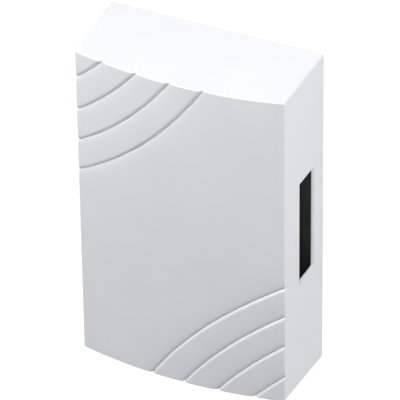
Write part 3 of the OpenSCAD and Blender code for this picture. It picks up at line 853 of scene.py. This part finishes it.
def makeStriker(name, node, profile):
    bm = bmesh.new()
    spinProfile(bm, profile)
    closeUp(bm)
    bevelEdges(bm, proudEdges(bm, least=60.0), plunger["strikerEdge"])
    makePiece(bm, name, "plunger", [node], strikerNylon)


def makeHighStriker():
    # a round-nosed rod
    tip = boxOf("striker_high")[1].x
    spigot, radius = plunger["spigotRadius"], plunger["strikerRadius"]
    start = coreHigh.x - plunger["spigotLength"]
    profile = [(start, 0.0), (start, spigot), (coreHigh.x, spigot), (coreHigh.x, radius)]
    for step in range(plunger["noseSteps"] + 1):
        angle = math.pi / 2 * step / plunger["noseSteps"]
        profile.append((tip - radius * (1 - math.sin(angle)), radius * math.cos(angle)))
    makeStriker("highStriker", "striker_high", profile)


def makeLowStriker():
    # a rod with a seat for the spring and a low dome outside it
    low = boxOf("striker_low")[0]
    spigot, radius, nose = plunger["spigotRadius"], plunger["strikerRadius"], plunger["noseLength"]
    start = coreLow.x + plunger["spigotLength"]
    seatOut = low.x + nose
    seatIn = seatOut + plunger["seatThickness"]
    profile = [
        (start, 0.0), (start, spigot), (coreLow.x, spigot), (coreLow.x, radius),
        (seatIn, radius), (seatIn, -low.z), (seatOut, -low.z),
    ]
    dome = (radius ** 2 + nose ** 2) / (2 * nose)
    widest = math.asin(radius / dome)
    for step in range(plunger["noseSteps"] + 1):
        angle = widest * (1 - step / plunger["noseSteps"])
        profile.append((low.x + dome * (1 - math.cos(angle)), dome * math.sin(angle)))
    makeStriker("lowStriker", "striker_low", profile)


makeCore()
makeHighStriker()
makeLowStriker()
print("plunger made")


# Return spring, fixed at the yoke and pushed by the low striker's seat

spring = dict(wireRadius=0.3, curls=7, stepsPerCurl=28, wireSides=10)


def makeSpring():
    low, high = boxOf("return_spring")
    wireRadius = spring["wireRadius"]
    fixedX = high.x - wireRadius
    movingX = low.x + wireRadius
    steps = spring["curls"] * spring["stepsPerCurl"]
    bm = bmesh.new()
    wire = bmesh.ops.create_circle(bm, segments=spring["wireSides"], radius=wireRadius)["verts"]
    bmesh.ops.translate(bm, vec=(fixedX, -low.z - wireRadius - axisDepth, 0.0), verts=wire)
    bmesh.ops.spin(
        bm, geom=bm.verts[:] + bm.edges[:], cent=(0.0, -axisDepth, 0.0), axis=(1.0, 0.0, 0.0),
        dvec=((movingX - fixedX) / steps, 0.0, 0.0), angle=2 * math.pi * spring["curls"],
        steps=steps, use_merge=False, use_duplicate=False,
    )
    bmesh.ops.holes_fill(bm, edges=[e for e in bm.edges if e.is_boundary], sides=0)
    closeUp(bm)
    piece = makePiece(bm, "returnSpring", None, ["return_spring"], springSteel, sharp=60.0)
    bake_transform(piece)


makeSpring()
print("spring made")


# Coil leads, from the winding through the guide to the outer terminals

leads = dict(
    start=(17.0, -21.1, -11.3), drop=(17.0, -21.1, -15.8), guide=(13.0, -6.1, -31.74),
    entry=(10.0, -7.9, -47.77), sleeveEnd=(10.0, -7.9, -54.4), wireEnd=(10.0, -7.9, -60.4),
    sleeveRadius=0.7, wireRadius=0.45, tuck=1.0,  # the bare wire starts inside the sleeve
    curveSteps=14, tubeSteps=4,
)


def tubeAlong(bm, points, handles, radius):
    # a smooth tube, made as a curve and read back as a mesh
    data = bpy.data.curves.new("leadPath", "CURVE")
    data.dimensions = "3D"
    data.resolution_u = leads["curveSteps"]
    data.bevel_depth = radius
    data.bevel_resolution = leads["tubeSteps"]
    data.use_fill_caps = True
    spline = data.splines.new("BEZIER")
    spline.bezier_points.add(len(points) - 1)
    for knot, place, (before, after) in zip(spline.bezier_points, points, handles):
        knot.co = place
        knot.handle_left = place + Vector((0.0, 0.0, before))
        knot.handle_right = place + Vector((0.0, 0.0, after))
    path = bpy.data.objects.new("leadPath", data)
    bpy.context.scene.collection.objects.link(path)
    bpy.context.view_layer.update()
    mesh = path.evaluated_get(bpy.context.evaluated_depsgraph_get()).to_mesh()
    bm.from_mesh(mesh)
    bpy.data.objects.remove(path)


def makeLead(name, node, side, sleeve):
    def at(label):
        x, y, z = leads[label]
        return Vector((side * x, y, z))

    knots = [at(label) for label in ("start", "drop", "guide", "entry", "sleeveEnd")]
    pull = [(b.z - a.z) / 2 for a, b in zip(knots, knots[1:])]
    handles = [
        (0.0, pull[0] / 2), (-pull[0] / 2, pull[1]), (-pull[1], pull[2]),
        (-pull[2], pull[3] / 2), (-pull[3] / 2, 0.0),
    ]
    bm = bmesh.new()
    tubeAlong(bm, knots, handles, leads["sleeveRadius"])
    closeUp(bm)
    makePiece(bm, name, "base", [node], sleeve, sharp=50.0)
    bm = bmesh.new()
    bare = [at("sleeveEnd") + Vector((0.0, 0.0, leads["tuck"])), at("wireEnd")]
    third = (bare[1].z - bare[0].z) / 3
    tubeAlong(bm, bare, [(-third, third), (-third, third)], leads["wireRadius"])
    closeUp(bm)
    makePiece(bm, name + "End", "base", [], bareCopper, sharp=50.0)


makeLead("leadLeft", "coil_lead_left", -1.0, leadBlack)
makeLead("leadRight", "coil_lead_right", 1.0, leadRed)
print("leads made")


# Studio

studio = dict(
    floorHeight=-0.9, floorSize=14.0, floorGrey=0.55, floorRough=0.9, floorGlow=0.75, roomLight=0.12,
)
softboxes = dict(
    # name: place, size and power
    highLeft=((-0.55, -0.55, 0.65), 0.5, 7.4),
    cameraSide=((0.40, -0.80, 0.55), 0.4, 2.2),
    highRight=((0.55, -0.15, 0.60), 0.5, 2.4),
    farRight=((2.40, 0.30, 1.00), 1.6, 26.0),
    behind=((-0.60, 2.00, 0.50), 1.6, 14.0),
)


def rayMask(tree):
    # one for camera, glossy and transmitted rays
    rays = tree.nodes.new("ShaderNodeLightPath")
    first = tree.nodes.new("ShaderNodeMath")
    first.operation = "MAXIMUM"
    tree.links.new(rays.outputs["Is Camera Ray"], first.inputs[0])
    tree.links.new(rays.outputs["Is Glossy Ray"], first.inputs[1])
    second = tree.nodes.new("ShaderNodeMath")
    second.operation = "MAXIMUM"
    tree.links.new(first.outputs["Value"], second.inputs[0])
    tree.links.new(rays.outputs["Is Transmission Ray"], second.inputs[1])
    return second.outputs["Value"]


def makeStudio():
    scene = bpy.context.scene
    scene.view_settings.view_transform = "Standard"
    world = bpy.data.worlds.new("paleRoom")
    scene.world = world
    world.use_nodes = True
    tree = world.node_tree
    room = tree.nodes["Background"]
    room.inputs["Color"].default_value = (1.0, 1.0, 1.0, 1.0)
    room.inputs["Strength"].default_value = studio["roomLight"]
    plain = tree.nodes.new("ShaderNodeBackground")
    plain.inputs["Color"].default_value = (1.0, 1.0, 1.0, 1.0)
    plain.inputs["Strength"].default_value = 1.0
    either = tree.nodes.new("ShaderNodeMixShader")
    tree.links.new(rayMask(tree), either.inputs["Fac"])
    tree.links.new(room.outputs["Background"], either.inputs[1])
    tree.links.new(plain.outputs["Background"], either.inputs[2])
    tree.links.new(either.outputs["Shader"], tree.nodes["World Output"].inputs["Surface"])

    # pale floor, white to the camera but still shaded
    bm = bmesh.new()
    bmesh.ops.create_grid(bm, x_segments=8, y_segments=8, size=studio["floorSize"] / 2)
    bmesh.ops.translate(bm, vec=(0.0, 0.0, studio["floorHeight"]), verts=bm.verts)
    mesh = bpy.data.meshes.new("studioFloor")
    bm.to_mesh(mesh)
    bm.free()
    material, tree, shader = startFinish("floorPale")
    grey = studio["floorGrey"]
    shader.inputs["Base Color"].default_value = (grey, grey, grey, 1.0)
    shader.inputs["Roughness"].default_value = studio["floorRough"]
    glow = tree.nodes.new("ShaderNodeEmission")
    strength = tree.nodes.new("ShaderNodeMath")
    strength.operation = "MULTIPLY"
    strength.inputs[1].default_value = studio["floorGlow"]
    tree.links.new(rayMask(tree), strength.inputs[0])
    tree.links.new(strength.outputs["Value"], glow.inputs["Strength"])
    both = tree.nodes.new("ShaderNodeAddShader")
    tree.links.new(shader.outputs["BSDF"], both.inputs[0])
    tree.links.new(glow.outputs["Emission"], both.inputs[1])
    tree.links.new(both.outputs["Shader"], tree.nodes["Material Output"].inputs["Surface"])
    mesh.materials.append(material)
    floor = bpy.data.objects.new("studioFloor", mesh)
    scene.collection.objects.link(floor)


def addSoftbox(name, place, size, power):
    data = bpy.data.lights.new(name, "AREA")
    data.shape = "SQUARE"
    data.size = size
    data.energy = power
    lamp = bpy.data.objects.new(name, data)
    bpy.context.scene.collection.objects.link(lamp)
    lamp.location = place
    lamp.rotation_mode = "QUATERNION"
    lamp.rotation_quaternion = (-Vector(place)).to_track_quat("-Z", "Y")
    lamp.visible_camera = False


makeStudio()
for lampName, (place, size, power) in softboxes.items():
    addSoftbox(lampName, place, size, power)
print("studio made")
